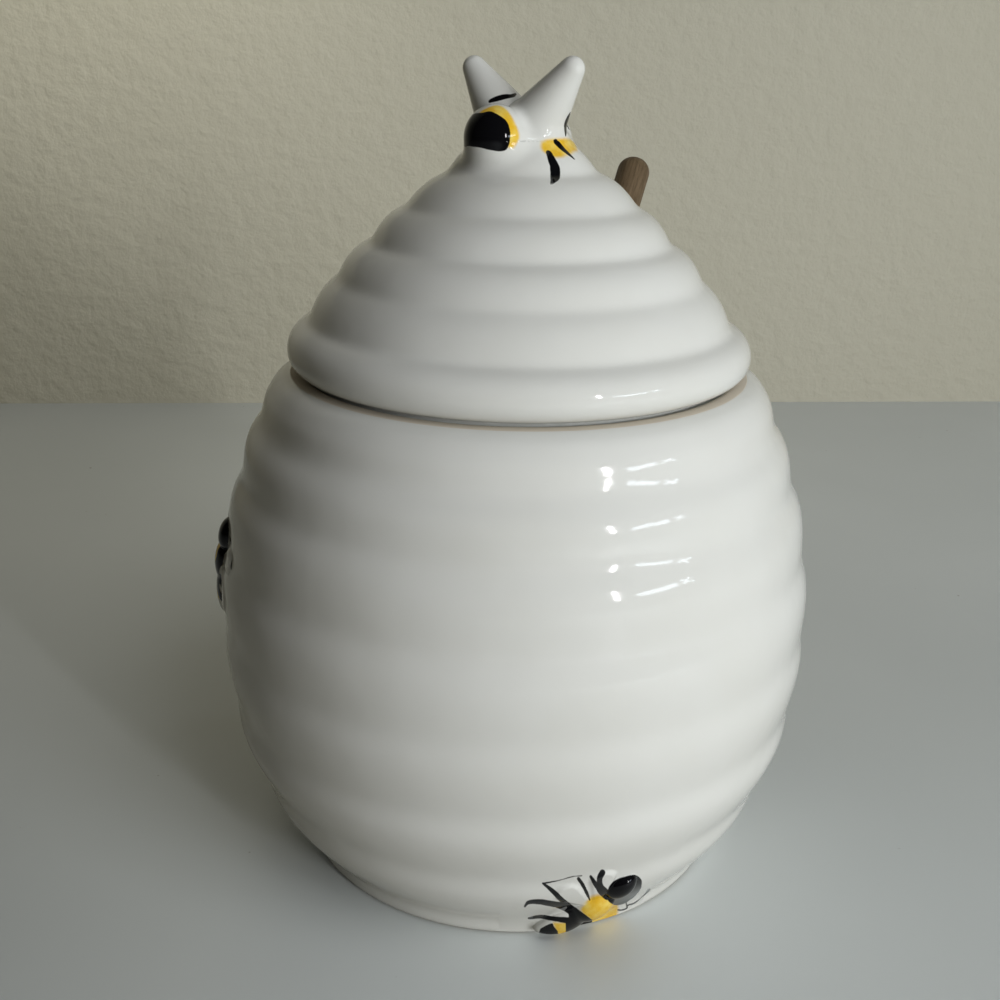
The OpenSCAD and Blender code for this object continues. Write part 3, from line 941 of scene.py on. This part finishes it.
painted_glaze = glaze("painted_glaze", painted=True)
front = bee_piece("front_bee", front_bee, front_paint, 20.0, 0.6, 26.0, 330, 240)
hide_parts("front_bee_body", "front_bee_wings")
left = bee_piece("left_bee", left_bee, left_paint, 16.0, 46.0, 78.0, 240, 240)
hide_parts("left_bee_body", "left_bee_wings")

# ---------------------------------------------------------------- lid and knob bee

lid_outer = resample(LID_LINE[::-1], 1.5)
roof_line = np.stack([ROOF[1], ROOF[0]], 1)[1:]


def lid_shell():
    """Rough closed shell of the lid: outside and hollow as one turned line."""
    downwards = lid_outer[::-1]
    line = np.concatenate([[(0.0, CROWN_Z)], downwards[downwards[:, 1] > SEAM_Z + 0.2],
                           [(FLANGE_R, SEAM_Z + 0.2), (FLANGE_R, FLANGE_Z + 0.1),
                            (HOLLOW_R, FLANGE_Z + 0.1)],
                           roof_line, [(0.0, ROOF_TOP)]])
    return turned_part(line, 180)


def notch_tool():
    """Rough slot for the first cut of the notch."""
    a = np.radians(np.linspace(90, 270, 25))
    ring = [(NOTCH_R * math.cos(v), NOTCH_R * math.sin(v)) for v in a]
    ring += [(32.0, -NOTCH_R), (32.0, NOTCH_R)]
    points = []
    for s in (SEAM_S - NOTCH_LOW, SEAM_S + NOTCH_HIGH):
        points += [dipper_origin + dipper_axis * s + dipper_out * x + sideways * y for x, y in ring]
    k = len(ring)
    faces = [[i, (i + 1) % k, (i + 1) % k + k, i + k] for i in range(k)]
    faces += [list(range(k))[::-1], list(range(k, 2 * k))]
    return np.array(points), faces


lid = from_field("lid", [lid_shell()], lid_field, 0.5, fields=knob_paint, cut=notch_tool())
lid.data.materials.append(painted_glaze)
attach(lid, "lid")
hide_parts("lid_dome")


def limb_part(a, ra, b, rb):
    """Rough round-ended cone, as points and faces."""
    a, b = np.asarray(a, float), np.asarray(b, float)
    length = np.linalg.norm(b - a)
    line = [(0, -ra)] + [(ra * math.cos(v), ra * math.sin(v)) for v in np.linspace(-1.4, 0.2, 8)]
    line += [(rb * math.cos(v), length + rb * math.sin(v)) for v in np.linspace(0.2, 1.4, 8)]
    line += [(0, length + rb)]
    z = (b - a) / length
    x = unit(np.cross(z, (1.0, 0.1, 0.0)))
    y = np.cross(z, x)
    return turned_part(line, 24, lambda p: a + p[:, :1] * x + p[:, 1:2] * y + p[:, 2:] * z)


def placed(part):
    points, faces = part
    return knob_world(points), faces


skirt = lid_outer[(lid_outer[:, 0] < SKIRT_R) & (lid_outer[:, 1] > SKIRT_LOW_Z + 0.5)]
skirt_line = np.concatenate([[(0, SKIRT_LOW_Z), (SKIRT_R, SKIRT_LOW_Z),
                              (SKIRT_R, skirt[0, 1] - 0.3)], skirt, [(0, 143.2)]])
knob_parts = [placed(ball_part(HEAD_BALL, HEAD_BALL_R)),
              placed(ball_part(*THORAX)), placed(ball_part(*ABDOMEN)),
              placed(limb_part(*wing_cone(1))), placed(limb_part(*wing_cone(-1))),
              turned_part(skirt_line, 64)]
knob = from_field("knob_bee", knob_parts, knob_field, 0.3, fields=knob_paint,
                  shading=lambda p: knob_field(p, False))
knob.data.materials.append(painted_glaze)
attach(knob, "lid")
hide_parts("finial_bee_body", "finial_bee_wing_left", "finial_bee_wing_right")

# ---------------------------------------------------------------- dipper

HEAD_TOP = HEAD_L - TIP_R
HEAD_GROOVES = 5
RING_H = (HEAD_L - TIP_R * 0.6) / (2 * HEAD_GROOVES + 1)
FIRST_GROOVE = HEAD_TOP - 2 * HEAD_GROOVES * RING_H
GROOVE_R = HEAD_R - 4.0


def on_dipper(points, r, z, theta):
    """Moves a lathe part from the Z axis to the dipper's."""
    x, y, s = points.T
    return (dipper_origin + np.outer(x, dipper_out) + np.outer(y, sideways)
            + np.outer(s, dipper_axis))


def grain(points):
    """The dipper's own coordinates, for the grain of its wood."""
    q = points - dipper_origin
    return {"grain": np.stack([q @ dipper_out, q @ sideways, q @ dipper_axis], 1)}


def head_line():
    line = arc(0.0, 0.0, TIP_R, -90, -30, 8)
    line += [(HEAD_R - 1.3, FIRST_GROOVE)]
    for i in range(HEAD_GROOVES):
        low = FIRST_GROOVE + (2 * i + 0.5) * RING_H
        high = low + RING_H
        line += [(HEAD_R - 0.15, low - 0.25), (HEAD_R - 0.4, low), (GROOVE_R + 0.3, low + 0.1),
                 (GROOVE_R, low + 0.5), (GROOVE_R, high - 0.5), (GROOVE_R + 0.3, high - 0.1),
                 (HEAD_R - 0.4, high), (HEAD_R - 0.15, high + 0.25)]
    line += [(HEAD_R - 0.2, HEAD_TOP - 1.3), (HEAD_R - 1.2, HEAD_TOP - 0.1),
             (HANDLE_R + 0.1, HEAD_TOP - 0.02), (0.0, HEAD_TOP - 0.02)]
    return resample(line, 0.22)


dipper_head = lathe("dipper_head", head_line(), 128, on_dipper, grain)
head_wood = wood("head_wood", (0.16, 0.105, 0.055, 1), (0.30, 0.215, 0.13, 1))
dipper_head.data.materials.append(head_wood)
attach(dipper_head, "dipper")
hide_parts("dipper_head")

HANDLE_END = DIPPER_L - TIP_R - 0.4
END_ROUND = 3.2
handle_line = [(0.0, HEAD_TOP), (HANDLE_R, HEAD_TOP)]
handle_line += arc(HANDLE_R - END_ROUND, HANDLE_END - END_ROUND, END_ROUND, 0, 80, 8)
handle_line += [(HANDLE_R * 0.4, HANDLE_END - 0.05), (0.0, HANDLE_END)]
handle = lathe("dipper_handle", resample(handle_line, 0.35), 96, on_dipper, grain)
handle_wood = wood("handle_wood", (0.10, 0.068, 0.036, 1), (0.19, 0.135, 0.08, 1))
handle.data.materials.append(handle_wood)
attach(handle, "dipper")
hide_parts("dipper_handle")

# ---------------------------------------------------------------- floor and wall

TABLE = (0.63, 0.67, 0.67, 1)
TABLE_PALE = (0.68, 0.72, 0.72, 1)
TABLE_SPECK = (0.2, 0.17, 0.14, 1)
PLASTER = (0.60, 0.58, 0.47, 1)
PLASTER_PALE = (0.64, 0.62, 0.51, 1)
# Colours of the light that the table and the wall send on to the object
TABLE_BOUNCE = (0.34, 0.32, 0.25, 1)
WALL_BOUNCE = (0.20, 0.18, 0.12, 1)
WALL_Y = 335.0
WALL_TURN = math.tan(math.radians(3.7))


def sheet_object(name, points, material):
    piece = make_piece(name, points, [[0, 1, 2, 3]])
    piece.data.materials.append(material)


def table_top():
    """A dull grey table with painted light and shade: lighter towards the wall and darker on the
    left.
    """
    n = Nodes("table_top")
    place = n.place()
    cloud = n.noise(place, 6.0, 3.0)
    colour = n.mix(n.ramp(cloud, 0.3, 0.7), TABLE, TABLE_PALE)
    speck = n.ramp(n.noise(place, 260.0, 2.0), 0.76, 0.8)
    colour = n.mix(n.math("MULTIPLY", speck, 0.5), colour, TABLE_SPECK)
    # Painted light and shade: the colour brightens towards the wall and darkens on the left,
    # standing in for how the lamps' light falls on the table.
    x, y = n.across(place)
    painted_light_towards_wall = n.ramp(y, 0.02, 0.30, 1.0, 1.32)
    left = n.ramp(x, -0.2, 0.0, 0.70, 1.04)
    colour = n.scaled(colour, n.math("MULTIPLY", painted_light_towards_wall, left))
    n.set(Base_Color=n.mix(n.looked_at(), TABLE_BOUNCE, colour), Roughness=0.45)
    return n.material


def plaster():
    n = Nodes("plaster")
    place = n.place()
    colour = n.mix(n.ramp(n.noise(place, 3.0, 2.0), 0.3, 0.7), PLASTER, PLASTER_PALE)
    n.set(Base_Color=n.mix(n.looked_at(), WALL_BOUNCE, colour), Roughness=0.8,
          Normal=n.bump(n.noise(place, 140.0, 4.0, 0.6), 1.6, 0.8))
    return n.material


FLOOR_W = 3000.0
TABLE_Z = -0.02
WALL_H = 2000.0
WALL_LEFT = (-FLOOR_W, WALL_Y - FLOOR_W * WALL_TURN)
WALL_RIGHT = (FLOOR_W, WALL_Y + FLOOR_W * WALL_TURN)
sheet_object("floor", [(-FLOOR_W, -FLOOR_W, TABLE_Z), (FLOOR_W, -FLOOR_W, TABLE_Z),
                       (*WALL_RIGHT, TABLE_Z), (*WALL_LEFT, TABLE_Z)], table_top())
sheet_object("backdrop", [(*WALL_LEFT, TABLE_Z), (*WALL_RIGHT, TABLE_Z),
                          (*WALL_RIGHT, WALL_H), (*WALL_LEFT, WALL_H)], plaster())

# ---------------------------------------------------------------- light

TARGET = (0.0, 0.0, 75.0)


def lamp(name, azimuth, elevation, distance, width, height, radiance, colour=(1, 1, 1), spin=0.0,
         glossy=True, target=TARGET):
    """A flat lamp that faces its target. Radiance 1 is as bright as a white sheet in full light."""
    a, e = math.radians(azimuth), math.radians(elevation)
    d = np.array([math.cos(a) * math.cos(e), math.sin(a) * math.cos(e), math.sin(e)])
    data = bpy.data.lights.new(name, "AREA")
    data.shape = "RECTANGLE"
    data.size = width * MM
    data.size_y = height * MM
    data.energy = radiance * math.pi * width * height * MM * MM
    data.color = colour
    made = bpy.data.objects.new(name, data)
    at = np.asarray(target) + d * distance
    right = unit(np.cross((0, 0, 1.0), d))
    up = np.cross(d, right)
    m = Matrix(((right[0], up[0], d[0], at[0] * MM), (right[1], up[1], d[1], at[1] * MM),
                (right[2], up[2], d[2], at[2] * MM), (0, 0, 0, 1)))
    made.matrix_world = m @ Matrix.Rotation(math.radians(spin), 4, "Z")
    made.visible_glossy = glossy
    bpy.context.scene.collection.objects.link(made)


DAYLIGHT = (1.0, 1.0, 0.985)
COOL = (0.80, 0.90, 1.0)
WARM = (1.0, 0.94, 0.78)
lamp("key_near", -62, 6, 680, 250, 280, 4.4, DAYLIGHT, glossy=False)
lamp("key_far", -46, 6, 680, 250, 280, 5.3, DAYLIGHT, glossy=False)
lamp("key_high", -48, 50, 1000, 500, 400, 3.4, DAYLIGHT, glossy=False)
lamp("wall_wash", 48, 55, 640, 800, 300, 3.5, DAYLIGHT, glossy=False,
     target=(170.0, 342.0, 160.0))
lamp("corner_fill", -90, 88, 250, 260, 200, 0.8, WARM, glossy=False,
     target=(-190.0, 200.0, 0.0))
lamp("room_lamp", -54, 13, 1000, 24, 200, 100.0)
lamp("window_pane", -38, 11, 1000, 270, 85, 14.0, COOL, spin=8)
lamp("window_bar_a", -25, 13, 1000, 130, 16, 24.0, COOL, spin=55)
lamp("window_bar_b", -25, 13, 1000, 130, 16, 24.0, COOL, spin=-45)

world = bpy.data.worlds.new("room")
world.use_nodes = True
tree = world.node_tree
background = tree.nodes["Background"]
background.inputs["Color"].default_value = (1.0, 0.92, 0.66, 1)
background.inputs["Strength"].default_value = 0.013
pale = tree.nodes.new("ShaderNodeBackground")
pale.inputs["Color"].default_value = (0.42, 0.42, 0.38, 1)
pale.inputs["Strength"].default_value = 1.0
ray = tree.nodes.new("ShaderNodeLightPath")
both = tree.nodes.new("ShaderNodeMixShader")
tree.links.new(ray.outputs["Is Camera Ray"], both.inputs[0])
tree.links.new(background.outputs[0], both.inputs[1])
tree.links.new(pale.outputs[0], both.inputs[2])
tree.links.new(both.outputs[0], tree.nodes["World Output"].inputs["Surface"])
bpy.context.scene.world = world

# ---------------------------------------------------------------- camera

CAMERA_AT = (-3.2, -222.6, 154.6)
CAMERA_PITCH = 20.35
CAMERA_ROLL = 0.88
CAMERA_LENS = 41.43

camera_data = bpy.data.cameras.new("camera")
camera_data.lens = CAMERA_LENS
camera_data.sensor_width = 36.0
camera_data.clip_start = 0.01
camera = bpy.data.objects.new("camera", camera_data)
camera.matrix_world = (Matrix.Translation([v * MM for v in CAMERA_AT])
                       @ Matrix.Rotation(math.radians(90 - CAMERA_PITCH), 4, "X")
                       @ Matrix.Rotation(math.radians(CAMERA_ROLL), 4, "Z"))
bpy.context.scene.collection.objects.link(camera)
bpy.context.scene.camera = camera
bpy.context.scene.view_settings.view_transform = "Standard"
